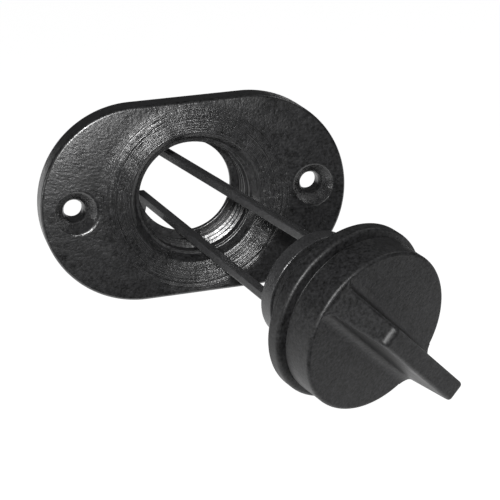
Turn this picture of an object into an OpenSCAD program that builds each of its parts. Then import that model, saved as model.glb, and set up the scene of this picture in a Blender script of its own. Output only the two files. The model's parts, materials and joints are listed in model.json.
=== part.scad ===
// Captive boat drain plug: an oblong screw-on socket and a finned screw plug on a legged tether.
// X runs along the socket's plate, Z up across it, and Y through it into the hull. The origin is on
// the plate's back face, at the middle of the drain bore. The plug is modelled drawn out and leaning.

/* [Plate] */
// Overall length of the socket's plate
plate_l = 76.8; // [72:0.2:84]
// Overall height of the plate, and so the diameter of its round ends
plate_h = 48.8; // [46:0.2:54]
// Thickness of the plate
plate_t = 7.3; // [6.5:0.1:9]
// Radius of the rounded front edge
plate_edge = 0.9; // [0.4:0.1:1.5]
// Distance between the two screw holes
screw_pitch = 60; // [58:0.5:62]
// Diameter of the screw holes
screw_d = 4.8; // [4:0.1:5.4]
// Diameter of the countersinks at the face
screw_head_d = 10.8; // [8:0.1:11.5]
// Depth of the countersinks
screw_head_depth = 3.1; // [2:0.1:4]
// Diameter of the steep lead at the foot of the countersinks
screw_lead_d = 5.8; // [5.6:0.1:7]
// Depth of that lead
screw_lead_depth = 1.4; // [0.5:0.1:2.5]

/* [Bore] */
// Diameter of the shallow dish that the plug's rim closes on
dish_d = 42.8; // [42.6:0.1:44]
// Depth of the dish at its inner edge
dish_depth = 0.8; // [0.4:0.1:1.4]
// Diameter of the mouth where the dish ends
mouth_d = 32.8; // [32:0.1:35]
// Depth of the seal's cone below the dish
cone_depth = 2.1; // [1.5:0.1:3]
// Diameter at the foot of the seal's cone
cone_foot_d = 29.4; // [29:0.1:30]
// Diameter of the threaded bore
bore_d = 28; // [27.9:0.1:28.6]
// Diameter of the opening in the rear lip
lip_d = 24; // [23.6:0.1:25]
// Thickness of the rear lip
lip_t = 1.5; // [1:0.1:2.5]
// Length of the barrel behind the plate
barrel_l = 8.4; // [7.5:0.1:12]
// Outer diameter of the barrel
barrel_d = 33.6; // [32.5:0.1:36]

/* [Plug] */
// Diameter of the plug's threaded spigot
spigot_d = 27.4; // [26.8:0.1:27.6]
// Length of the threaded spigot with its seal groove
spigot_l = 8.2; // [7:0.1:9]
// Diameter of the undercut that the seal sits in
root_d = 26.4; // [25.6:0.1:26.8]
// Diameter of the rim that closes on the dish
rim_d = 42; // [41:0.1:42.4]
// Thickness of the rim
rim_t = 3.6; // [3:0.1:5]
// Width of the groove between rim and cap
groove_w = 0.9; // [0.5:0.1:1.5]
// Depth of the groove below the cap's side
groove_depth = 1; // [0.5:0.1:2]
// Diameter of the cap
cap_d = 38.4; // [36:0.1:40]
// Height of the cap in front of the groove
cap_h = 7.8; // [6:0.1:10]
// Radius of the edges of rim and cap
cap_edge = 0.8; // [0.3:0.1:1.2]
// Thickness of the round seal
seal_t = 2.6; // [2:0.1:2.8]

/* [Fin] */
// Length of the finger fin where it leaves the cap
fin_base_l = 36; // [30:0.5:37]
// Length of the fin along its top
fin_top_l = 29.6; // [24:0.1:30]
// Height of the fin above the cap
fin_h = 15.5; // [12:0.1:20]
// Thickness of the fin at the cap
fin_base_t = 6.6; // [5:0.1:8]
// Thickness of the fin at its top
fin_top_t = 4.5; // [3:0.1:5]
// Radius of the hollow fillet between the fin and the cap
fin_fillet = 3; // [1:0.1:4]

/* [Tether] */
// Diameter of the neck that the tether's ring turns on
neck_d = 16; // [15:0.1:16.4]
// Diameter of the snap head that keeps the ring on
head_d = 17.2; // [16.8:0.1:17.6]
// Length of the snap head
head_l = 0.9; // [0.6:0.1:1.2]
// Outer diameter of the ring
ring_d = 26.8; // [25:0.1:27.4]
// Thickness of the ring
ring_t = 3.6; // [2.5:0.1:4.5]
// Length of the legs from the ring to their tips
leg_l = 68.5; // [66:0.5:76]
// Width of a leg round the ring
leg_w = 2.6; // [2:0.1:3.2]
// Thickness of a leg across the ring
leg_t = 2; // [1.6:0.1:2.2]
// Distance from the tether's axis to a leg where it leaves the ring
leg_root_r = 10.2; // [9.8:0.1:10.4]
// Distance from the tether's axis to a leg at its tip
leg_tip_r = 7.3; // [6.5:0.1:7.8]
// Distance that a toe reaches out from the tether's axis
toe_reach = 13.2; // [12.8:0.1:14]
// Length of a toe along its leg
toe_l = 2.6; // [2:0.1:4]
// Length by which a toe's ramp narrows it towards the tip
toe_ramp = 2.4; // [1:0.1:2.8]
// Width of the groove along the outside of a leg
leg_groove_w = 0.9; // [0.6:0.1:1.2]
// Depth of the groove along the outside of a leg
leg_groove_depth = 0.5; // [0.3:0.1:0.8]

/* [Placing] */
// Lean of the drawn plug away from the bore's axis
lean = 25.2; // [24.8:0.1:25.6]
// Direction of the lean, down from the plate's length
lean_turn = 32.2; // [31:0.2:33.4]
// Distance along the plug's axis from the rear lip to the plug's inner end
draw = 56.8; // [55:0.1:60]
// Sideways place of the plug's axis in the rear lip
cross_x = -4.5; // [-4.9:0.1:-4.1]
// Height of the plug's axis in the rear lip
cross_z = 0.6; // [0.3:0.1:0.9]
// Turn of the fin about the plug's axis
fin_turn = -13; // [-30:1:30]
// Turn of the legs about the plug's axis
leg_turn = 113; // [111:0.5:115]

/* [Clearances] */
// Play of the ring on its neck, all round
turn_play = 0.05; // [0.03:0.01:0.08]
// Play of the ring between its shoulders, at each side
side_play = 0.2; // [0.1:0.05:0.3]
// Gap between the seal and what it lies on
seal_play = 0.05; // [0.03:0.01:0.1]

/* [Hidden] */
$fn = 96;
// Length by which a cutting shape runs past a face
past = 1;
// Steps of a rounded edge
arc_steps = 5;
screw_r = screw_d / 2;
end_r = plate_h / 2;
end_x = plate_l / 2 - end_r;
mouth_z = plate_t - dish_depth;
cone_foot_z = mouth_z - cone_depth;
// Heights along the plug, from its inner end outwards
ring_z = head_l + side_play;
neck_top_z = ring_z + ring_t + side_play;
rim_z = neck_top_z + spigot_l;
groove_z = rim_z + rim_t;
cap_z = groove_z + groove_w;
face_z = cap_z + cap_h;
seal_r = seal_t / 2;
seal_mid_r = root_d / 2 + seal_play + seal_r;
seal_mid_z = rim_z - seal_play - seal_r;
undercut_z = seal_mid_z - seal_r - seal_play;
leg_slope = atan((leg_root_r - leg_tip_r) / leg_l);
// Height of a leg's tip below the middle of the ring
leg_tip_z = -leg_l - ring_t / 2;
// Length of plain leg left at each end of the groove
groove_land = 2;
fin_corner = 2.5;
fin_foot = fin_base_t / 2 + fin_fillet;

// Points of an arc about a centre
function arc(centre, r, from, to) =
    [for (i = [0 : arc_steps]) let (a = from + (to - from) * i / arc_steps)
        [centre.x + r * cos(a), centre.y + r * sin(a)]];

// Half section of the plate, from its middle to its rounded front edge
function plate_section() = concat(
    [[0, 0], [end_r, 0]],
    arc([end_r - plate_edge, plate_t - plate_edge], plate_edge, 0, 90),
    [[0, plate_t]]);

// Plate with round ends
module plate() {
    for (side = [-1, 1])
        translate([side * end_x, 0, 0])
            rotate([0, 0, side * 90 - 180])
                rotate_extrude(angle = 180) polygon(plate_section());
    for (side = [0, 1])
        mirror([0, side, 0])
            translate([-end_x, 0, 0])
                rotate([90, 0, 90])
                    linear_extrude(2 * end_x) polygon(plate_section());
}

// Space of the drain bore, from the dish to the rear lip
module bore_space() {
    dish_slope = (dish_d - mouth_d) / 2 / dish_depth;
    rotate_extrude()
        polygon([
            [0, plate_t + past],
            [dish_d / 2 + dish_slope * past, plate_t + past],
            [mouth_d / 2, mouth_z],
            [cone_foot_d / 2, cone_foot_z],
            [bore_d / 2, cone_foot_z],
            [bore_d / 2, lip_t - barrel_l],
            [lip_d / 2, lip_t - barrel_l],
            [lip_d / 2, -barrel_l - past],
            [0, -barrel_l - past]]);
}

// Space of one countersunk screw hole
module screw_space() {
    head_slope = (screw_head_d - screw_lead_d) / 2 / screw_head_depth;
    rotate_extrude()
        polygon([
            [0, -past],
            [screw_r, -past],
            [screw_r, plate_t - screw_head_depth - screw_lead_depth],
            [screw_lead_d / 2, plate_t - screw_head_depth],
            [screw_head_d / 2 + head_slope * past, plate_t + past],
            [0, plate_t + past]]);
}

// Screw-on plate with its threaded barrel
module socket() {
    color("#2b2b2d")
        rotate([90, 0, 0])
            difference() {
                union() {
                    plate();
                    translate([0, 0, -barrel_l]) cylinder(d = barrel_d, h = barrel_l + plate_t / 2);
                }
                bore_space();
                for (side = [-1, 1])
                    translate([side * screw_pitch / 2, 0, 0]) screw_space();
            }
}

// Puts what it holds on the drawn plug's leaning axis, with its zero at the plug's inner end
module on_plug_axis(turn) {
    translate([cross_x, barrel_l, cross_z])
        rotate([0, lean_turn, 0])
            rotate([0, 0, lean])
                rotate([90, 0, 0])
                    translate([0, 0, draw])
                        rotate([0, 0, turn])
                            children();
}

// Turned body of the plug: snap head, neck, spigot, rim, groove and cap
module plug_body() {
    rotate_extrude()
        polygon(concat(
            [[0, 0], [neck_d / 2, 0], [head_d / 2, head_l / 2], [head_d / 2, head_l], [neck_d / 2, head_l]],
            [[neck_d / 2, neck_top_z], [spigot_d / 2 - cap_edge, neck_top_z]],
            [[spigot_d / 2, neck_top_z + cap_edge], [spigot_d / 2, undercut_z]],
            [[root_d / 2, undercut_z], [root_d / 2, rim_z]],
            arc([rim_d / 2 - cap_edge, rim_z + cap_edge], cap_edge, -90, 0),
            arc([rim_d / 2 - cap_edge, groove_z - cap_edge], cap_edge, 0, 90),
            [[cap_d / 2 - groove_depth, groove_z], [cap_d / 2 - groove_depth, cap_z], [cap_d / 2, cap_z]],
            arc([cap_d / 2 - cap_edge, face_z - cap_edge], cap_edge, 0, 90),
            [[0, face_z]]));
}

// Side outline of the fin, sunk a little way into the cap
function fin_outline() = concat(
    [[-fin_base_l / 2, -past], [fin_base_l / 2, -past], [fin_base_l / 2, 0]],
    arc([fin_top_l / 2 - fin_corner, fin_h - fin_corner], fin_corner, 15, 90),
    arc([fin_corner - fin_top_l / 2, fin_h - fin_corner], fin_corner, 90, 165),
    [[-fin_base_l / 2, 0]]);

// Cross section of the fin, filleted into the cap and thinner towards its rounded top
function fin_section() = concat(
    [[-fin_foot, -past], [fin_foot, -past]],
    arc([fin_foot, fin_fillet], fin_fillet, 270, 185),
    arc([0, fin_h - fin_top_t / 2], fin_top_t / 2, 5, 175),
    arc([-fin_foot, fin_fillet], fin_fillet, -5, -90));

// Finger fin that the plug is turned by, kept on the flat of the cap
module fin() {
    intersection() {
        rotate([90, 0, 0]) linear_extrude(2 * fin_foot + past, center = true) polygon(fin_outline());
        rotate([90, 0, 90]) linear_extrude(fin_base_l + past, center = true) polygon(fin_section());
        translate([0, 0, -past]) cylinder(d = cap_d - 2 * cap_edge, h = fin_h + 2 * past);
    }
}

// Finned screw plug
module plug() {
    color("#303032")
        on_plug_axis(fin_turn) {
            plug_body();
            translate([0, 0, face_z]) fin();
        }
}

// Round rubber seal in the undercut behind the rim
module sealing_ring() {
    color("#18181a")
        on_plug_axis(fin_turn)
            translate([0, 0, seal_mid_z])
                rotate_extrude() translate([seal_mid_r, 0]) circle(r = seal_r, $fn = 32);
}

// Side outline of a leg and its ramped toe
function leg_outline() = [
    [-leg_t / 2, 0],
    [-leg_t / 2, leg_tip_z],
    [toe_reach - leg_tip_r - toe_ramp, leg_tip_z],
    [toe_reach - leg_tip_r, leg_tip_z + toe_l],
    [leg_t / 2, leg_tip_z + toe_l],
    [leg_t / 2, 0]];

// One sloping, grooved leg with the toe that catches behind the rear lip
module leg() {
    groove_foot_z = leg_tip_z + toe_l + groove_land;
    groove_head_z = -ring_t / 2 - groove_land;
    translate([leg_root_r, 0, ring_z + ring_t / 2])
        rotate([0, leg_slope, 0])
            difference() {
                rotate([90, 0, 0]) linear_extrude(leg_w, center = true) polygon(leg_outline());
                translate([leg_t / 2 - leg_groove_depth, -leg_groove_w / 2, groove_foot_z])
                    cube([leg_groove_depth + past, leg_groove_w, groove_head_z - groove_foot_z]);
            }
}

// Ring and two legs that keep the plug with its socket
module tether() {
    color("#2d2d2f")
        on_plug_axis(leg_turn) {
            translate([0, 0, ring_z])
                difference() {
                    cylinder(d = ring_d, h = ring_t);
                    translate([0, 0, -past]) cylinder(d = neck_d + 2 * turn_play, h = ring_t + 2 * past);
                }
            for (side = [0, 180])
                rotate([0, 0, side]) leg();
        }
}

socket();
plug();
sealing_ring();
tether();
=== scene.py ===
"""Looks of a captive boat drain plug: socket, threads, finned plug, seal and tether, with their stage.

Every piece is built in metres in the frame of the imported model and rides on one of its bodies.
"""

import json
import math

import bmesh
import bpy
from mathutils import Matrix, Vector


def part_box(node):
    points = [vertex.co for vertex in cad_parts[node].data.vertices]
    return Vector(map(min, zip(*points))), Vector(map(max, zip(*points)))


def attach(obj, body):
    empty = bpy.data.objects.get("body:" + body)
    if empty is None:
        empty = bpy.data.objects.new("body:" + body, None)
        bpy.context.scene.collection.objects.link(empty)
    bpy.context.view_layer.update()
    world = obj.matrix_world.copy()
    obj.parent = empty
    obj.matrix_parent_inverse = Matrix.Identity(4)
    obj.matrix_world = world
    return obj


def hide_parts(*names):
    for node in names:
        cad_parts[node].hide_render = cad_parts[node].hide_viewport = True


bl_info = {
    "name": "Captive Drain Plug",
    "version": (1, 0, 0),
    "blender": (4, 5, 0),
    "location": "View3D > Sidebar > Drain Plug",
    "description": "Builds the dressed pieces of a captive boat drain plug round its packed frame",
    "category": "Add Mesh",
}

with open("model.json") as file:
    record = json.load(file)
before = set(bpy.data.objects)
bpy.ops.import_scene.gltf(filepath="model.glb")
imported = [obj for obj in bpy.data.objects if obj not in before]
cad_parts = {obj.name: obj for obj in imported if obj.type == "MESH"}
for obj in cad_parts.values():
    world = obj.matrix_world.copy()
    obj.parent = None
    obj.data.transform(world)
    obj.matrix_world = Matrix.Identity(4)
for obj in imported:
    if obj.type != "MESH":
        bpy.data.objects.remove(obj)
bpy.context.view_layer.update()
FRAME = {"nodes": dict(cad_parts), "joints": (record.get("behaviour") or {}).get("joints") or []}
SOCKET_LOW, SOCKET_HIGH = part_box("socket")

MM = 0.001
FULL_TURN = 2 * math.pi
# Steps of a full circle on turned pieces and on the screw holes, and of one turn of a thread
TURNED_STEPS = 160
HOLE_STEPS = 96
THREAD_STEPS = 72
# Steps of the plate's rounded edge and of its crown, and of the fin's hollow fillet and round corners
PLATE_STEPS = 7
FILLET_STEPS = 8
# Steps of a small rounded edge, and of the fin's rounded long edges
EDGE_STEPS = 3
FIN_EDGE_STEPS = 5
# Largest turn between two points of a rounded corner
CORNER_STEP = math.radians(11)
# Turn over which the plate's edge rounds before the crown takes over
EDGE_TURN = math.radians(82)
# Edges sharper than this stay crisp
CRISP_ANGLE = math.radians(38)
# Depth to which a thread's ridge is sunk in its wall, and the fin's foot in the cap
RIDGE_SUNK = 0.15 * MM
FOOT_SUNK = 0.2 * MM
# Half widths of a thread's ridge at the wall and at its crest, as parts of the pitch
RIDGE_FOOT, RIDGE_CREST = 0.21, 0.09


def size(name, description, millimetres):
    """A length that a user can change, kept in metres."""
    return bpy.props.FloatProperty(
        name=name, description=description, default=millimetres * MM, unit="LENGTH", precision=5
    )


def angle(name, description, degrees):
    """An angle that a user can change, kept in radians."""
    return bpy.props.FloatProperty(
        name=name, description=description, default=math.radians(degrees), subtype="ANGLE"
    )


def factor(name, description, value):
    """A plain number that a user can change."""
    return bpy.props.FloatProperty(name=name, description=description, default=value, min=0.0, max=1.0)


def colour(name, description, red, green, blue):
    """A colour that a user can change."""
    return bpy.props.FloatVectorProperty(
        name=name, description=description, default=(red, green, blue), subtype="COLOR", min=0.0, max=1.0
    )


class SocketSizes(bpy.types.PropertyGroup):
    """Sizes of the screw-on socket."""

    plate_edge: size("Plate edge", "Radius of the plate's rounded front edge", 0.9)
    crown_w: size("Crown width", "Width of the band along which the face falls away to its edge", 14.0)
    crown_drop: size("Crown drop", "Height by which the face falls away at its edge", 0.6)
    dish_d: size("Dish diameter", "Diameter of the shallow dish round the mouth", 42.8)
    dish_depth: size("Dish depth", "Depth of the dish at the mouth", 0.8)
    dish_edge: size("Dish edge", "Radius that softens the edge of the dish", 3.0)
    mouth_d: size("Mouth diameter", "Diameter of the mouth", 32.8)
    mouth_edge: size("Mouth edge", "Radius of the mouth's edge", 0.7)
    cone_depth: size("Cone depth", "Depth of the seal's cone below the dish", 2.1)
    cone_foot_d: size("Cone foot", "Diameter at the foot of the seal's cone", 29.4)
    bore_d: size("Bore diameter", "Diameter of the bore at the thread's outer size", 28.0)
    lip_d: size("Lip diameter", "Diameter of the opening in the rear lip", 24.0)
    lip_t: size("Lip thickness", "Thickness of the rear lip", 1.5)
    barrel_d: size("Barrel diameter", "Outer diameter of the barrel behind the plate", 33.6)
    screw_pitch: size("Screw pitch", "Distance between the two screw holes", 60.0)
    screw_d: size("Screw hole", "Diameter of the screw holes", 4.8)
    head_d: size("Countersink", "Diameter of the countersinks at the face", 10.8)
    head_depth: size("Countersink depth", "Depth of the countersinks", 3.1)
    lead_d: size("Lead", "Diameter of the steep lead at the foot of the countersinks", 5.8)
    lead_depth: size("Lead depth", "Depth of that lead", 1.4)
    head_edge: size("Countersink edge", "Radius that softens the edge of the countersinks", 1.6)
    soft_edge: size("Soft edge", "Radius of the other moulded edges", 0.3)


class ThreadSizes(bpy.types.PropertyGroup):
    """Sizes of the coarse thread in the bore and on the spigot."""

    pitch: size("Pitch", "Distance from one turn of the thread to the next", 2.5)
    bore_depth: size("Bore thread depth", "Height of the ridge in the bore", 0.6)
    spigot_depth: size("Spigot thread depth", "Height of the ridge on the spigot", 0.6)
    run_out: factor("Run out", "Part of a turn over which the ridge fades at its ends", 0.3)


class PlugSizes(bpy.types.PropertyGroup):
    """Sizes of the finned plug, along its own axis from its inner end."""

    neck_d: size("Neck diameter", "Diameter of the neck that the tether turns on", 16.0)
    head_d: size("Snap head", "Diameter of the snap head at the inner end", 17.2)
    head_l: size("Snap head length", "Length of the snap head", 0.9)
    spigot_z: size("Spigot start", "Height at which the spigot begins", 4.9)
    spigot_d: size("Spigot diameter", "Diameter over the spigot's thread", 27.4)
    undercut_z: size("Undercut start", "Height at which the seal's undercut begins", 10.4)
    root_d: size("Undercut diameter", "Diameter of the seal's undercut", 26.4)
    rim_z: size("Rim start", "Height at which the rim begins", 13.1)
    rim_t: size("Rim thickness", "Thickness of the rim", 3.6)
    rim_d: size("Rim diameter", "Diameter of the rim", 41.6)
    rim_edge: size("Rim edge", "Radius of the rim's edges", 0.8)
    groove_w: size("Groove width", "Width of the groove between rim and cap", 0.9)
    groove_depth: size("Groove depth", "Depth of the groove below the cap's side", 1.0)
    cap_d: size("Cap diameter", "Diameter of the cap", 38.4)
    cap_h: size("Cap height", "Height of the cap in front of the groove", 7.8)
    cap_edge: size("Cap edge", "Radius of the cap's edge", 0.8)
    soft_edge: size("Soft edge", "Radius of the small moulded edges", 0.2)


class FinSizes(bpy.types.PropertyGroup):
    """Sizes of the finger fin on the cap."""

    base_l: size("Base length", "Length of the fin at the cap", 37.4)
    top_l: size("Top length", "Length of the fin along its top", 31.4)
    base_t: size("Base thickness", "Thickness of the fin at the cap", 6.6)
    top_t: size("Top thickness", "Thickness of the fin at its top", 4.7)
    height: size("Height", "Height of the fin above the cap", 15.5)
    corner: size("Corner", "Radius of the two far corners of the fin", 1.4)
    edge: size("Edge", "Radius along the fin's long edges", 0.8)
    fillet: size("Fillet", "Radius of the hollow fillet between fin and cap", 2.4)
    foot_l: size("Foot length", "Length of the fillet's foot on the cap", 38.0)
    trim: size("Trim", "Distance that the fin's ends stay inside the cap's side", 0.35)
    turn: angle("Turn", "Turn of the fin about the plug's axis", -13.0)


class TetherSizes(bpy.types.PropertyGroup):
    """Sizes of the tether's ring and legs."""

    ring_z: size("Ring start", "Height of the ring's inner face along the plug's axis", 1.1)
    ring_t: size("Ring thickness", "Thickness of the ring", 3.6)
    ring_d: size("Ring diameter", "Outer diameter of the ring", 26.8)
    ring_bore: size("Ring bore", "Diameter of the ring's bore", 16.1)
    leg_l: size("Leg length", "Length of the legs from the ring to their tips", 68.5)
    leg_w: size("Leg width", "Width of a leg round the ring", 2.6)
    leg_t: size("Leg thickness", "Thickness of a leg across the ring", 2.0)
    root_r: size("Leg root", "Distance from the axis to a leg at the ring", 10.2)
    tip_r: size("Leg tip", "Distance from the axis to a leg at its tip", 7.3)
    toe_reach: size("Toe reach", "Distance that a toe reaches out from the axis", 13.2)
    toe_l: size("Toe length", "Length of a toe along its leg", 2.6)
    toe_ramp: size("Toe ramp", "Length by which a toe's ramp narrows it", 2.4)
    groove_w: size("Groove width", "Width of the groove along the outside of a leg", 0.9)
    groove_depth: size("Groove depth", "Depth of that groove", 0.5)
    groove_land: size("Groove land", "Length of plain leg at each end of the groove", 2.0)
    edge: size("Edge", "Radius of the moulded edges", 0.3)
    turn: angle("Turn", "Turn of the legs about the plug's axis", 113.0)


class FinishSettings(bpy.types.PropertyGroup):
    """Colours and gloss of the mouldings."""

    socket_colour: colour("Socket colour", "Moulded plastic of the socket", 0.012, 0.012, 0.0125)
    plug_colour: colour("Plug colour", "Moulded plastic of the plug", 0.0125, 0.0125, 0.013)
    tether_colour: colour("Tether colour", "Moulded plastic of the tether", 0.030, 0.030, 0.031)
    rubber_colour: colour("Seal colour", "Rubber of the seal", 0.010, 0.010, 0.011)
    socket_roughness: factor("Socket roughness", "Roughness of the satin socket", 0.32)
    plug_roughness: factor("Plug roughness", "Roughness of the matt plug", 0.5)
    tether_roughness: factor("Tether roughness", "Roughness of the satin tether", 0.32)
    rubber_roughness: factor("Seal roughness", "Roughness of the rubber seal", 0.5)


class StageSettings(bpy.types.PropertyGroup):
    """Camera, floor and lamps."""

    azimuth: angle("Azimuth", "Direction that the camera looks from, round the object", -14.23)
    elevation: angle("Elevation", "Height of the camera above the horizon", 17.56)
    roll: angle("Roll", "Turn of the camera about its own axis", -3.11)
    distance: size("Distance", "Distance from the camera to the origin, along its view", 374.5)
    focal_px: bpy.props.FloatProperty(
        name="Focal length", description="In pixels of a picture 500 wide", default=1500.0
    )
    origin_px: bpy.props.FloatVectorProperty(
        name="Origin", description="Pixel of the origin in the picture", size=2, default=(190.8, 192.0)
    )
    floor_z: size("Floor", "Height of the floor", -260.0)
    floor_span: size("Floor span", "Length of the floor's sides", 9000.0)
    floor_front: size("Floor front", "Distance that the floor reaches in front of the plate", 150.0)


# Outlines and shells


def rounded(corners):
    """Points of an outline given as (across, along, radius) corners, with each corner rounded."""
    points = [Vector(corners[0][:2])]
    for before, (across, along, radius), after in zip(corners, corners[1:], corners[2:]):
        here = Vector((across, along))
        back = (Vector(before[:2]) - here).normalized()
        ahead = (Vector(after[:2]) - here).normalized()
        half = back.angle(ahead) / 2
        if radius == 0:
            points.append(here)
            continue
        centre = here + (back + ahead).normalized() * radius / math.sin(half)
        reach = radius / math.tan(half)
        first = (here + back * reach - centre).normalized()
        last = (here + ahead * reach - centre).normalized()
        steps = max(2, math.ceil((math.pi - 2 * half) / CORNER_STEP))
        points += [centre + first.slerp(last, i / steps) * radius for i in range(steps + 1)]
    points.append(Vector(corners[-1][:2]))
    return points


def turned(corners, steps=TURNED_STEPS):
    """A closed shell made by turning a rounded outline about the Z axis."""
    bm = bmesh.new()
    verts = [bm.verts.new((point.x, 0, point.y)) for point in rounded(corners)]
    edges = [bm.edges.new(pair) for pair in zip(verts, verts[1:])]
    bmesh.ops.spin(
        bm, geom=verts + edges, cent=(0, 0, 0), axis=(0, 0, 1), angle=FULL_TURN, steps=steps, use_merge=True
    )
    bmesh.ops.remove_doubles(bm, verts=bm.verts, dist=1e-7)
    bmesh.ops.recalc_face_normals(bm, faces=bm.faces)
    return bm


def thread_ridge(wall_r, crest_r, pitch, low, high, run_out):
    """A closed helical ridge from a wall to its crest that fades into the wall at both ends."""
    sunk_r = wall_r + math.copysign(RIDGE_SUNK, wall_r - crest_r)
    wide, narrow = RIDGE_FOOT * pitch, RIDGE_CREST * pitch
    turns = (high - low) / pitch - 1
    start = low + pitch / 2
    steps = round(turns * THREAD_STEPS)
    bm = bmesh.new()
    section = [(sunk_r, -wide), (crest_r, -narrow), (crest_r, narrow), (sunk_r, wide)]
    verts = [bm.verts.new((radius, 0, start + rise)) for radius, rise in section]
    edges = [bm.edges.new((verts[i - 1], verts[i])) for i in range(len(verts))]
    bmesh.ops.spin(
        bm,
        geom=verts + edges,
        cent=(0, 0, 0),
        axis=(0, 0, 1),
        dvec=(0, 0, turns * pitch / steps),
        angle=turns * FULL_TURN,
        steps=steps,
    )
    for vert in bm.verts:
        round_part = math.atan2(vert.co.y, vert.co.x) / FULL_TURN % 1
        whole = round((vert.co.z - start) / pitch - round_part)
        along = round_part + whole
        fade = max(0.0, min(1.0, along / run_out, (turns - along) / run_out))
        radius = vert.co.xy.length
        vert.co.xy *= (sunk_r + (radius - sunk_r) * fade) / radius
    bmesh.ops.holes_fill(bm, edges=[edge for edge in bm.edges if edge.is_boundary], sides=4)
    bmesh.ops.recalc_face_normals(bm, faces=bm.faces)
    return bm


def block(low, high):
    """A closed box between two corners."""
    bm = bmesh.new()
    bmesh.ops.create_cube(bm, size=1.0)
    middle = (Vector(low) + Vector(high)) / 2
    bmesh.ops.scale(bm, vec=Vector(high) - Vector(low), verts=bm.verts)
    bmesh.ops.translate(bm, vec=middle, verts=bm.verts)
    return bm


def soften(bm, edges, radius, segments=EDGE_STEPS):
    """Rounds edges of a bmesh."""
    bmesh.ops.bevel(
        bm,
        geom=list(edges),
        offset=radius,
        offset_type="OFFSET",
        segments=segments,
        profile=0.5,
        affect="EDGES",
        material=-1,
        clamp_overlap=True,
    )


def sharp_edges(bm, least=math.radians(20)):
    """The edges of a bmesh that fold by more than an angle."""
    return [edge for edge in bm.edges if edge.is_manifold and edge.calc_face_angle() > least]


def plug_frame(turn=0.0):
    """Places what is modelled along +Z from the plug's inner end on the drawn plug's leaning axis."""
    joint = next(joint for joint in FRAME["joints"] if joint["name"] == "plug_turn")
    outward = Vector(joint["axis"]).normalized()
    into_hull = Vector((0, 1, 0))
    across = (into_hull - outward * outward.dot(into_hull)).normalized()
    basis = Matrix((across, outward.cross(across), outward)).transposed().to_4x4()
    return Matrix.Translation(joint["pos_m"]) @ basis @ Matrix.Rotation(turn, 4, "Z")


def socket_frame():
    """Places what is modelled with the user's side towards +Z on the socket, which faces -Y."""
    return Matrix.Rotation(math.radians(90), 4, "X")


def mesh_object(name, bm, matrix):
    """Turns a bmesh into an object whose place is in its mesh."""
    bmesh.ops.transform(bm, matrix=matrix, verts=bm.verts)
    mesh = bpy.data.meshes.new(name)
    bm.to_mesh(mesh)
    bm.free()
    thing = bpy.data.objects.new(name, mesh)
    bpy.context.scene.collection.objects.link(thing)
    return thing


def cut(thing, tools, operation="DIFFERENCE"):
    """Cuts tools out of an object, or joins them to it, and removes the tools."""
    for tool in tools:
        step = thing.modifiers.new(tool.name, "BOOLEAN")
        step.operation = operation
        step.solver = "EXACT"
        step.object = tool
    graph = bpy.context.evaluated_depsgraph_get()
    made = bpy.data.meshes.new_from_object(thing.evaluated_get(graph))
    thing.modifiers.clear()
    thing.data = made
    for tool in tools:
        bpy.data.objects.remove(tool)


def dress(thing, body, finish, replaced=()):
    """Shades a finished piece and puts it on its body."""
    thing.data.shade_smooth()
    thing.data.set_sharp_from_angle(angle=CRISP_ANGLE)
    thing.data.materials.clear()
    thing.data.materials.append(finish)
    weigh = thing.modifiers.new("weighted normals", "WEIGHTED_NORMAL")
    weigh.keep_sharp = True
    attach(thing, body)
    if replaced:
        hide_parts(*replaced)
    return thing


# Finishes


class Value:
    """A shader socket that takes part in sums; each sum adds its Math node."""

    def __init__(self, finish, socket):
        self.finish = finish
        self.socket = socket

    def __add__(self, other):
        return self.finish.math("ADD", self, other)

    def __radd__(self, other):
        return self.finish.math("ADD", other, self)

    def __sub__(self, other):
        return self.finish.math("SUBTRACT", self, other)

    def __rsub__(self, other):
        return self.finish.math("SUBTRACT", other, self)

    def __mul__(self, other):
        return self.finish.math("MULTIPLY", self, other)

    def __rmul__(self, other):
        return self.finish.math("MULTIPLY", other, self)

    def __pow__(self, other):
        return self.finish.math("POWER", self, other)


class Finish:
    """A node tree under construction."""

    def __init__(self, tree):
        self.tree = tree
        tree.nodes.clear()

    def node(self, kind, settings=None, **inputs):
        """Adds a node, sets its settings first and then the values or links of its sockets."""
        made = self.tree.nodes.new(kind)
        for name, value in (settings or {}).items():
            if name == "stops":
                ramp = made.color_ramp
                while len(ramp.elements) < len(value):
                    ramp.elements.new(0.5)
                for element, (place, grey) in zip(ramp.elements, value):
                    element.position = place
                    element.color = (grey, grey, grey, 1)
            else:
                setattr(made, name, value)
        for name, value in inputs.items():
            socket = self.find(made.inputs, name)
            if isinstance(value, Value):
                self.tree.links.new(value.socket, socket)
            else:
                socket.default_value = value
        return made

    @staticmethod
    def find(sockets, name):
        """The open socket of that name, or of that place in the list for names such as _0."""
        if name.startswith("_"):
            return sockets[int(name[1:])]
        plain = name.replace("_", " ").lower()
        return next(socket for socket in sockets if socket.name.lower() == plain and socket.enabled)

    def out(self, node, name=None):
        """A node's output as a value; its first one unless it is named."""
        return Value(self, node.outputs[0] if name is None else self.find(node.outputs, name))

    def math(self, operation, first, second=0.0):
        """What a Math node makes of two values or numbers."""
        return self.out(self.node("ShaderNodeMath", {"operation": operation}, _0=first, _1=second))

    def noise(self, where, scale, detail=2.0, roughness=0.5):
        """Cloudy noise from 0 to 1 with that many features to a metre."""
        made = self.node(
            "ShaderNodeTexNoise", None, vector=where, scale=scale, detail=detail, roughness=roughness
        )
        return self.out(made, "fac")

    def ramp(self, value, *stops):
        """A value passed through a ramp of (place, level) stops."""
        return self.out(self.node("ShaderNodeValToRGB", {"stops": stops}, fac=value), "color")

    def shade(self, base, level):
        """A colour made darker or lighter by a level."""
        mixed = self.node("ShaderNodeVectorMath", {"operation": "SCALE"}, _0=base[:3], scale=level)
        return self.out(mixed, "vector")


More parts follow.
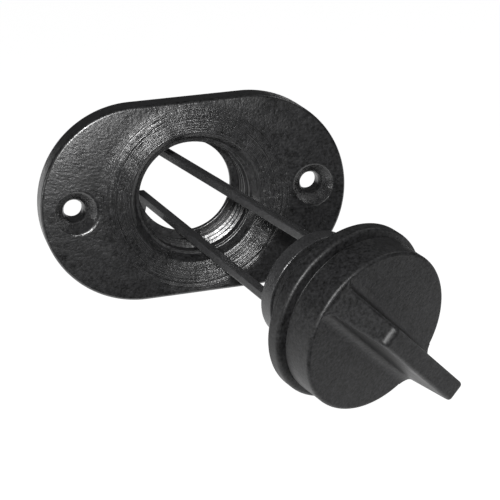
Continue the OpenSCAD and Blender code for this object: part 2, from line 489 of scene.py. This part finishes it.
# Features to a metre of what the mouldings' noises show
CLOUDS, BLOTCHES, RUBBED, RINGS, WORN = 70.0, 420.0, 160.0, 3600.0, 190.0
# Level about which a noise wavers
MIDDLE = 0.5
# How much more the blotches and the grain tell in the colour than the clouds do
BLOTCH_WEIGHT, GRAIN_WEIGHT = 2, 6
# Spread of the roughness over the blotches, and what rubbing takes off it
BLOTCH_GLOSS, RUBBED_GLOSS = 0.16, 0.08
# Depth of one unit of relief, and the units of the grain and of the rings on the dish
RELIEF = 0.05 * MM
GRAIN_RELIEF, RING_RELIEF = 1.3, 6.5
# Strength of the rings at distances from the bore's middle, in tenths of a metre
DISH_RINGS = ((0.155, 0.0), (0.165, 1.0), (0.210, 0.9), (0.250, 0.0))
# Only what lies on the user's side of this Y has rings
RINGS_FRONT = -3 * MM


def turned_rings(finish, where):
    """Relief of the fine rings that turning left on the dish, worn away in places."""
    axes = finish.node("ShaderNodeSeparateXYZ", None, vector=where)
    across, depth, up = finish.out(axes, "x"), finish.out(axes, "y"), finish.out(axes, "z")
    front = finish.math("LESS_THAN", depth, RINGS_FRONT)
    radius = (across * across + up * up) ** 0.5
    made = finish.node("ShaderNodeTexNoise", {"noise_dimensions": "1D"}, w=radius, scale=RINGS, detail=2.0)
    rings = finish.out(made, "fac")
    dish = finish.ramp(radius * 10.0, *DISH_RINGS)
    worn = finish.ramp(finish.noise(where, WORN, 3.0, 0.6), (0.35, 0.35), (0.65, 1.0))
    return rings * dish * worn * front * RING_RELIEF


def moulded(name, base, roughness, grain, mottle, shine=0.5, streaks=False):
    """Black moulded plastic: cloudy in colour and gloss, with a fine grain and a few rubbed places."""
    material = bpy.data.materials.new(name)
    material.use_nodes = True
    finish = Finish(material.node_tree)
    where = finish.out(finish.node("ShaderNodeTexCoord"), "object")
    clouds = finish.noise(where, CLOUDS, 3.0, 0.55)
    blotches = finish.noise(where, BLOTCHES, 3.0, 0.6)
    grains = finish.noise(where, grain, 2.0, 0.6)
    rubbed = finish.ramp(finish.noise(where, RUBBED, 4.0, 0.65), (0.52, 0.0), (0.72, 1.0))
    level = 1 + (clouds - MIDDLE) * mottle
    level = level + (blotches - MIDDLE) * mottle * BLOTCH_WEIGHT
    level = level + (grains - MIDDLE) * mottle * GRAIN_WEIGHT
    gloss = roughness + (blotches - MIDDLE) * BLOTCH_GLOSS - rubbed * RUBBED_GLOSS
    height = grains * GRAIN_RELIEF + blotches * GRAIN_RELIEF
    if streaks:
        height = height + turned_rings(finish, where)
    bump = finish.node("ShaderNodeBump", None, strength=1.0, distance=RELIEF, height=height)
    shader = finish.node(
        "ShaderNodeBsdfPrincipled",
        None,
        base_color=finish.shade(base, level),
        roughness=gloss,
        specular_ior_level=shine,
        normal=finish.out(bump, "normal"),
    )
    output = finish.node("ShaderNodeOutputMaterial", None, surface=finish.out(shader, "bsdf"))
    output.is_active_output = True
    return material


def finishes():
    """The scene's finish settings."""
    return bpy.context.scene.drain_plug_finishes


def socket_finish():
    """Satin plastic of the socket, with turned rings on its dish."""
    own = finishes()
    return moulded(
        "satin socket plastic",
        own.socket_colour,
        own.socket_roughness,
        grain=1700.0,
        mottle=0.7,
        shine=1.0,
        streaks=True,
    )


def plug_finish():
    """Matt plastic of the plug and its fin."""
    own = finishes()
    return moulded("matt plug plastic", own.plug_colour, own.plug_roughness, grain=1500.0, mottle=0.7)


def tether_finish():
    """Satin plastic of the tether."""
    own = finishes()
    return moulded(
        "satin tether plastic", own.tether_colour, own.tether_roughness, grain=2600.0, mottle=0.4, shine=0.8
    )


def rubber_finish():
    """Rubber of the seal."""
    own = finishes()
    return moulded("seal rubber", own.rubber_colour, own.rubber_roughness, grain=5200.0, mottle=0.3)


def shared(make):
    """A finish that several pieces share, made once."""
    if make.__name__ not in shared.made:
        shared.made[make.__name__] = make()
    return shared.made[make.__name__]


shared.made = {}


# Pieces


def step_loop(bm, edges, rise):
    """Extrudes a loop of edges along Z and gives the new loop's verts and edges."""
    made = bmesh.ops.extrude_edge_only(bm, edges=edges)["geom"]
    verts = [item for item in made if isinstance(item, bmesh.types.BMVert)]
    new_edges = [item for item in made if isinstance(item, bmesh.types.BMEdge)]
    new_edges = [edge for edge in new_edges if all(vert in set(verts) for vert in edge.verts)]
    bmesh.ops.translate(bm, vec=(0, 0, rise), verts=verts)
    return verts, new_edges


def plate_shell(own):
    """The oblong plate with round ends, a rounded front edge and a crowned face, its back at z 0."""
    length, height = SOCKET_HIGH.x - SOCKET_LOW.x, SOCKET_HIGH.z - SOCKET_LOW.z
    thickness = -SOCKET_LOW.y
    end_r = height / 2
    end_x = length / 2 - end_r
    bm = bmesh.new()
    half_step = Matrix.Rotation(math.pi / TURNED_STEPS, 4, "Z")
    verts = bmesh.ops.create_circle(
        bm, cap_ends=False, radius=end_r, segments=TURNED_STEPS, matrix=half_step
    )["verts"]
    for side in (-1, 1):
        end = [vert for vert in verts if vert.co.x * side > 0]
        bmesh.ops.translate(bm, vec=(side * end_x, 0, 0), verts=end)
    edges = list(bm.edges)
    bmesh.ops.contextual_create(bm, geom=edges)
    verts, edges = step_loop(bm, edges, thickness - own.plate_edge - own.crown_drop)
    profile = []
    for step in range(1, PLATE_STEPS + 1):
        turn = EDGE_TURN * step / PLATE_STEPS
        profile.append((own.plate_edge * (1 - math.cos(turn)), own.plate_edge * math.sin(turn)))
    edge_inset, edge_rise = profile[-1]
    full_rise = own.plate_edge + own.crown_drop
    for step in range(1, PLATE_STEPS + 1):
        part = step / PLATE_STEPS
        crown = edge_rise + (full_rise - edge_rise) * (1 - (1 - part) ** 2)
        profile.append((edge_inset + (own.crown_w - edge_inset) * part, crown))
    inset, rise = 0.0, 0.0
    for new_inset, new_rise in profile:
        verts, edges = step_loop(bm, edges, new_rise - rise)
        shrink = (end_r - new_inset) / (end_r - inset)
        for side in (-1, 1):
            end = [vert for vert in verts if vert.co.x * side > 0]
            about_end = Matrix.Translation((-side * end_x, 0, 0))
            bmesh.ops.scale(bm, vec=(shrink, shrink, 1), space=about_end, verts=end)
        inset, rise = new_inset, new_rise
    bmesh.ops.contextual_create(bm, geom=edges)
    bmesh.ops.recalc_face_normals(bm, faces=bm.faces)
    return bm


class DRAINPLUG_OT_socket(bpy.types.Operator):
    """Build the screw-on socket with its dish, bore, rear lip and screw holes."""

    bl_idname = "drain_plug.socket"
    bl_label = "Socket"

    def execute(self, context):
        own = context.scene.drain_plug_socket
        face, rear = -SOCKET_LOW.y, -SOCKET_HIGH.y
        # Slope and reach by which a cutting outline leaves a face almost flat
        skim, reach = math.tan(math.radians(1)), 3 * MM
        mouth_z = face - own.dish_depth
        foot_z = mouth_z - own.cone_depth
        lip_z = rear + own.lip_t
        plate = mesh_object("socket_shell", plate_shell(own), Matrix.Identity(4))
        barrel = turned(
            [
                (0, face / 2, 0),
                (own.barrel_d / 2, face / 2, 0),
                (own.barrel_d / 2, rear, own.soft_edge),
                (0, rear, 0),
            ]
        )
        cut(plate, [mesh_object("barrel", barrel, Matrix.Identity(4))], "UNION")
        bore = turned(
            [
                (0, face + reach, 0),
                (own.dish_d / 2 + reach, face + reach * skim, 0),
                (own.dish_d / 2, face, own.dish_edge),
                (own.mouth_d / 2, mouth_z, own.mouth_edge),
                (own.cone_foot_d / 2, foot_z, own.soft_edge),
                (own.bore_d / 2, foot_z, own.soft_edge / 2),
                (own.bore_d / 2, lip_z, own.soft_edge / 2),
                (own.lip_d / 2, lip_z, own.soft_edge),
                (own.lip_d / 2, rear, own.soft_edge),
                (own.lip_d / 2 + reach, rear - reach * skim, 0),
                (0, rear - reach, 0),
            ]
        )
        tools = [mesh_object("bore", bore, Matrix.Identity(4))]
        for side in (-1, 1):
            hole = turned(
                [
                    (0, face + reach, 0),
                    (own.head_d / 2 + reach, face + reach * skim, 0),
                    (own.head_d / 2, face, own.head_edge),
                    (own.lead_d / 2, face - own.head_depth, own.soft_edge),
                    (own.screw_d / 2, face - own.head_depth - own.lead_depth, own.soft_edge),
                    (own.screw_d / 2, -reach, 0),
                    (0, -reach, 0),
                ],
                steps=HOLE_STEPS,
            )
            place = Matrix.Translation((side * own.screw_pitch / 2, 0, 0))
            tools.append(mesh_object("screw_hole", hole, place))
        cut(plate, tools)
        plate.data.transform(socket_frame())
        dress(plate, "socket", shared(socket_finish), ["socket"])
        return {"FINISHED"}


class DRAINPLUG_OT_bore_thread(bpy.types.Operator):
    """Build the coarse thread ridge in the bore."""

    bl_idname = "drain_plug.bore_thread"
    bl_label = "Bore thread"

    def execute(self, context):
        own, thread = context.scene.drain_plug_socket, context.scene.drain_plug_thread
        wall_r = own.bore_d / 2
        foot_z = -SOCKET_LOW.y - own.dish_depth - own.cone_depth
        lip_z = -SOCKET_HIGH.y + own.lip_t
        ridge = thread_ridge(
            wall_r, wall_r - thread.bore_depth, thread.pitch, lip_z, foot_z, thread.run_out
        )
        piece = mesh_object("bore_thread", ridge, socket_frame())
        dress(piece, "socket", shared(socket_finish))
        return {"FINISHED"}


class DRAINPLUG_OT_plug(bpy.types.Operator):
    """Build the turned body of the plug, with its neck, spigot, rim, groove and cap."""

    bl_idname = "drain_plug.plug"
    bl_label = "Plug body"

    def execute(self, context):
        own, thread = context.scene.drain_plug_plug, context.scene.drain_plug_thread
        core_r = own.spigot_d / 2 - thread.spigot_depth
        groove_z = own.rim_z + own.rim_t
        groove_r = own.cap_d / 2 - own.groove_depth
        cap_z = groove_z + own.groove_w
        face_z = cap_z + own.cap_h
        body = turned(
            [
                (0, 0, 0),
                (own.neck_d / 2, 0, own.soft_edge / 2),
                (own.head_d / 2, own.head_l / 2, own.soft_edge),
                (own.head_d / 2, own.head_l, own.soft_edge / 2),
                (own.neck_d / 2, own.head_l, 0),
                (own.neck_d / 2, own.spigot_z, 0),
                (core_r, own.spigot_z, 2 * own.soft_edge),
                (core_r, own.undercut_z, own.soft_edge),
                (own.root_d / 2 - own.soft_edge, own.undercut_z, 0),
                (own.root_d / 2 - own.soft_edge, own.rim_z, 0),
                (own.rim_d / 2, own.rim_z, own.rim_edge),
                (own.rim_d / 2, groove_z, own.rim_edge),
                (groove_r, groove_z, own.soft_edge),
                (groove_r, cap_z, own.soft_edge),
                (own.cap_d / 2, cap_z, own.soft_edge),
                (own.cap_d / 2, face_z, own.cap_edge),
                (0, face_z, 0),
            ]
        )
        piece = mesh_object("plug_body", body, plug_frame())
        dress(piece, "plug", shared(plug_finish), ["plug"])
        low = own.spigot_z - thread.pitch / 4
        ridge = thread_ridge(
            core_r, own.spigot_d / 2, thread.pitch, low, own.undercut_z, thread.run_out
        )
        piece = mesh_object("spigot_thread", ridge, plug_frame())
        dress(piece, "plug", shared(plug_finish))
        return {"FINISHED"}


class DRAINPLUG_OT_fin(bpy.types.Operator):
    """Build the tapered finger fin with the hollow fillet at its foot."""

    bl_idname = "drain_plug.fin"
    bl_label = "Fin"

    def execute(self, context):
        own, plug = context.scene.drain_plug_fin, context.scene.drain_plug_plug
        rise = own.fillet / own.height
        waist_l = own.base_l + (own.top_l - own.base_l) * rise
        waist_t = own.base_t
        bm = block((-waist_l / 2, -waist_t / 2, own.fillet), (waist_l / 2, waist_t / 2, own.height))
        top = [vert for vert in bm.verts if vert.co.z > (own.fillet + own.height) / 2]
        bmesh.ops.scale(bm, vec=(own.top_l / waist_l, own.top_t / waist_t, 1), verts=top)
        ends = [
            edge
            for edge in bm.edges
            if all(vert in top for vert in edge.verts) and abs(edge.verts[0].co.y - edge.verts[1].co.y) > MM
        ]
        soften(bm, ends, own.corner, segments=FILLET_STEPS)
        under = [face for face in bm.faces if face.normal.z < -0.9]
        bmesh.ops.delete(bm, geom=under, context="FACES_ONLY")
        soften(bm, sharp_edges(bm, math.radians(40)), own.edge, segments=FIN_EDGE_STEPS)
        edges = [edge for edge in bm.edges if edge.is_boundary]
        foot_t = own.base_t + 2 * own.fillet
        length, thickness, height = waist_l, waist_t, own.fillet
        for step in range(1, FILLET_STEPS + 1):
            turn = math.radians(90) * step / FILLET_STEPS
            new_height = own.fillet * (1 - math.sin(turn))
            new_thickness = waist_t + (foot_t - waist_t) * (1 - math.cos(turn))
            new_length = waist_l + (own.foot_l - waist_l) * step / FILLET_STEPS
            verts, edges = step_loop(bm, edges, new_height - height)
            bmesh.ops.scale(bm, vec=(new_length / length, new_thickness / thickness, 1), verts=verts)
            length, thickness, height = new_length, new_thickness, new_height
        verts, edges = step_loop(bm, edges, -FOOT_SUNK)
        bmesh.ops.contextual_create(bm, geom=edges)
        bmesh.ops.recalc_face_normals(bm, faces=bm.faces)
        trim_r = plug.cap_d / 2 - own.trim
        for vert in bm.verts:
            reach = math.sqrt(trim_r**2 - vert.co.y**2)
            vert.co.x = max(-reach, min(reach, vert.co.x))
        face_z = plug.rim_z + plug.rim_t + plug.groove_w + plug.cap_h
        place = plug_frame(own.turn) @ Matrix.Translation((0, 0, face_z))
        dress(mesh_object("fin", bm, place), "plug", shared(plug_finish))
        return {"FINISHED"}


class DRAINPLUG_OT_seal(bpy.types.Operator):
    """Give the round rubber seal its finish."""

    bl_idname = "drain_plug.seal"
    bl_label = "Seal"

    def execute(self, context):
        seal = FRAME["nodes"]["sealing_ring"]
        seal.data.materials.clear()
        seal.data.materials.append(shared(rubber_finish))
        return {"FINISHED"}


def leg_shell(own):
    """One leg with its ramped toe, down -Z from the middle of the ring, its outside towards +X."""
    tip = -own.leg_l - own.ring_t / 2
    out = own.toe_reach - own.tip_r
    outline = [
        (-own.leg_t / 2, 0),
        (-own.leg_t / 2, tip),
        (out - own.toe_ramp, tip),
        (out, tip + own.toe_l),
        (own.leg_t / 2, tip + own.toe_l),
        (own.leg_t / 2, 0),
    ]
    bm = bmesh.new()
    side = bm.faces.new([bm.verts.new((across, -own.leg_w / 2, along)) for across, along in outline])
    made = bmesh.ops.extrude_face_region(bm, geom=[side])["geom"]
    far = [item for item in made if isinstance(item, bmesh.types.BMVert)]
    bmesh.ops.translate(bm, vec=(0, own.leg_w, 0), verts=far)
    bmesh.ops.recalc_face_normals(bm, faces=bm.faces)
    soften(bm, sharp_edges(bm), own.edge)
    return bm


def leg_groove(own):
    """The space of the groove along the outside of a leg."""
    low_z = -own.leg_l - own.ring_t / 2 + own.toe_l + own.groove_land
    high_z = -own.ring_t / 2 - own.groove_land
    low = (own.leg_t / 2 - own.groove_depth, -own.groove_w / 2, low_z)
    high = (own.leg_t / 2 + own.groove_depth, own.groove_w / 2, high_z)
    bm = block(low, high)
    floor = [edge for edge in bm.edges if all(vert.co.x < own.leg_t / 2 for vert in edge.verts)]
    soften(bm, floor, own.groove_depth / 3)
    return bm


class DRAINPLUG_OT_tether(bpy.types.Operator):
    """Build the tether's ring and its two grooved legs with toes."""

    bl_idname = "drain_plug.tether"
    bl_label = "Tether"

    def execute(self, context):
        own = context.scene.drain_plug_tether
        low, high = own.ring_z, own.ring_z + own.ring_t
        inner, outer = own.ring_bore / 2, own.ring_d / 2
        middle = (low + high) / 2
        ring = turned(
            [
                (inner, middle, 0),
                (inner, low, own.edge),
                (outer, low, own.edge),
                (outer, high, own.edge),
                (inner, high, own.edge),
                (inner, middle, 0),
            ]
        )
        piece = mesh_object("tether_ring", ring, plug_frame(own.turn))
        dress(piece, "tether", shared(tether_finish), ["tether"])
        slope = math.atan((own.root_r - own.tip_r) / own.leg_l)
        hang = Matrix.Translation((own.root_r, 0, middle)) @ Matrix.Rotation(slope, 4, "Y")
        for name, turn in (("upper_leg", 0.0), ("lower_leg", math.pi)):
            place = plug_frame(own.turn + turn) @ hang
            leg = mesh_object(name, leg_shell(own), place)
            cut(leg, [mesh_object("groove", leg_groove(own), place)])
            dress(leg, "tether", shared(tether_finish))
        return {"FINISHED"}


# Stage

# Each lamp's name, place, the point it shines at, its width and its power
LAMPS = [
    ("key", (-0.15, -0.55, 0.24), (0, 0, 0), 0.07, 3.8),
    ("sheen", (-0.06, -0.57, 0.06), (-0.03, 0, 0.01), 0.06, 0.6),
    ("side fill", (-0.60, -0.06, 0.05), (0, 0, 0), 0.15, 0.4),
    ("rim", (0.40, 0.10, 0.42), (0.01, -0.03, 0), 0.20, 0.3),
]
# Strength of the world's light, and of the glow that lifts the floor to white
WORLD_LIGHT = 0.05
FLOOR_GLOW = 0.95
# Part of that glow which glossy surfaces mirror
MIRRORED_GLOW = 0.8


def area_lamp(name, place, aim, width, power):
    """A square soft lamp that shines from a place to a point."""
    lamp = bpy.data.lights.new(name, "AREA")
    lamp.size = width
    lamp.energy = power
    thing = bpy.data.objects.new(name, lamp)
    thing.location = place
    thing.rotation_euler = (Vector(aim) - Vector(place)).to_track_quat("-Z", "Y").to_euler()
    bpy.context.scene.collection.objects.link(thing)


def place_camera(own):
    """The camera at the photograph's viewing angle."""
    picture_px, sensor_mm, nearest = 500, 36.0, 0.02
    swing, lift = own.azimuth, own.elevation
    back = Vector((math.sin(swing) * math.cos(lift), -math.cos(swing) * math.cos(lift), math.sin(lift)))
    right = (-back).cross(Vector((0, 0, 1))).normalized()
    up = right.cross(-back)
    rolled_right = right * math.cos(own.roll) + up * math.sin(own.roll)
    rolled_up = up * math.cos(own.roll) - right * math.sin(own.roll)
    across = (own.origin_px[0] - picture_px / 2) / own.focal_px * own.distance
    above = (picture_px / 2 - own.origin_px[1]) / own.focal_px * own.distance
    data = bpy.data.cameras.new("camera")
    data.sensor_width = sensor_mm
    data.lens = own.focal_px / picture_px * sensor_mm
    data.clip_start = nearest
    camera = bpy.data.objects.new("camera", data)
    basis = Matrix((rolled_right, rolled_up, back)).transposed().to_4x4()
    place = back * own.distance - rolled_right * across - rolled_up * above
    camera.matrix_world = Matrix.Translation(place) @ basis
    bpy.context.scene.collection.objects.link(camera)
    bpy.context.scene.camera = camera


def stage_world():
    """White behind the object, and a faint even light round it."""
    world = bpy.data.worlds.new("studio")
    world.use_nodes = True
    finish = Finish(world.node_tree)
    rays = finish.node("ShaderNodeLightPath")
    seen = finish.out(rays, "is_camera_ray")
    soft = finish.node("ShaderNodeBackground", None, color=(0.97, 0.98, 1.0, 1), strength=WORLD_LIGHT)
    white = finish.node("ShaderNodeBackground", None, color=(1, 1, 1, 1), strength=1.0)
    both = finish.node("ShaderNodeMixShader", None, _0=seen, _1=finish.out(soft), _2=finish.out(white))
    finish.node("ShaderNodeOutputWorld", None, surface=finish.out(both))
    bpy.context.scene.world = world


def floor_finish():
    """Pale floor that shows white to the camera and keeps a soft shadow."""
    material = bpy.data.materials.new("pale floor")
    material.use_nodes = True
    finish = Finish(material.node_tree)
    rays = finish.node("ShaderNodeLightPath")
    mirrored = finish.out(rays, "is_glossy_ray")
    seen = finish.math("MAXIMUM", finish.out(rays, "is_camera_ray"), mirrored * MIRRORED_GLOW)
    matt = finish.out(finish.node("ShaderNodeBsdfDiffuse", None, color=(0.8, 0.8, 0.8, 1)))
    glow = finish.out(finish.node("ShaderNodeEmission", None, color=(1, 1, 1, 1), strength=FLOOR_GLOW))
    lifted = finish.out(finish.node("ShaderNodeAddShader", None, _0=matt, _1=glow))
    both = finish.node("ShaderNodeMixShader", None, _0=seen, _1=matt, _2=lifted)
    finish.node("ShaderNodeOutputMaterial", None, surface=finish.out(both))
    return material


class DRAINPLUG_OT_stage(bpy.types.Operator):
    """Set the camera, the pale floor, the white surround and the soft lamps."""

    bl_idname = "drain_plug.stage"
    bl_label = "Stage"

    def execute(self, context):
        own = context.scene.drain_plug_stage
        bm = bmesh.new()
        bmesh.ops.create_grid(bm, x_segments=4, y_segments=4, size=own.floor_span / 2)
        middle_y = own.floor_span / 2 - own.floor_front
        floor = mesh_object("floor", bm, Matrix.Translation((0, middle_y, own.floor_z)))
        floor.data.materials.append(floor_finish())
        stage_world()
        for lamp in LAMPS:
            area_lamp(*lamp)
        place_camera(own)
        context.scene.view_settings.view_transform = "Standard"
        return {"FINISHED"}


class DRAINPLUG_PT_pieces(bpy.types.Panel):
    """Lists what builds the captive drain plug."""

    bl_label = "Captive Drain Plug"
    bl_idname = "DRAINPLUG_PT_pieces"
    bl_space_type = "VIEW_3D"
    bl_region_type = "UI"
    bl_category = "Drain Plug"

    def draw(self, context):
        for operator in OPERATORS:
            self.layout.operator(operator.bl_idname)


SETTINGS = {
    "drain_plug_socket": SocketSizes,
    "drain_plug_thread": ThreadSizes,
    "drain_plug_plug": PlugSizes,
    "drain_plug_fin": FinSizes,
    "drain_plug_tether": TetherSizes,
    "drain_plug_finishes": FinishSettings,
    "drain_plug_stage": StageSettings,
}
OPERATORS = [
    DRAINPLUG_OT_socket,
    DRAINPLUG_OT_bore_thread,
    DRAINPLUG_OT_plug,
    DRAINPLUG_OT_fin,
    DRAINPLUG_OT_seal,
    DRAINPLUG_OT_tether,
    DRAINPLUG_OT_stage,
]


def register():
    """Register the settings, operators and panel."""
    for kind in [*SETTINGS.values(), *OPERATORS, DRAINPLUG_PT_pieces]:
        bpy.utils.register_class(kind)
    for name, kind in SETTINGS.items():
        setattr(bpy.types.Scene, name, bpy.props.PointerProperty(type=kind))


def unregister():
    """Take the settings, operators and panel away."""
    for name in SETTINGS:
        delattr(bpy.types.Scene, name)
    for kind in [DRAINPLUG_PT_pieces, *reversed(OPERATORS), *SETTINGS.values()]:
        bpy.utils.unregister_class(kind)


def main():
    """Build every piece and the stage."""
    register()
    bpy.ops.drain_plug.socket()
    bpy.ops.drain_plug.bore_thread()
    bpy.ops.drain_plug.plug()
    bpy.ops.drain_plug.fin()
    bpy.ops.drain_plug.seal()
    bpy.ops.drain_plug.tether()
    bpy.ops.drain_plug.stage()


if __name__ == "__main__":
    main()
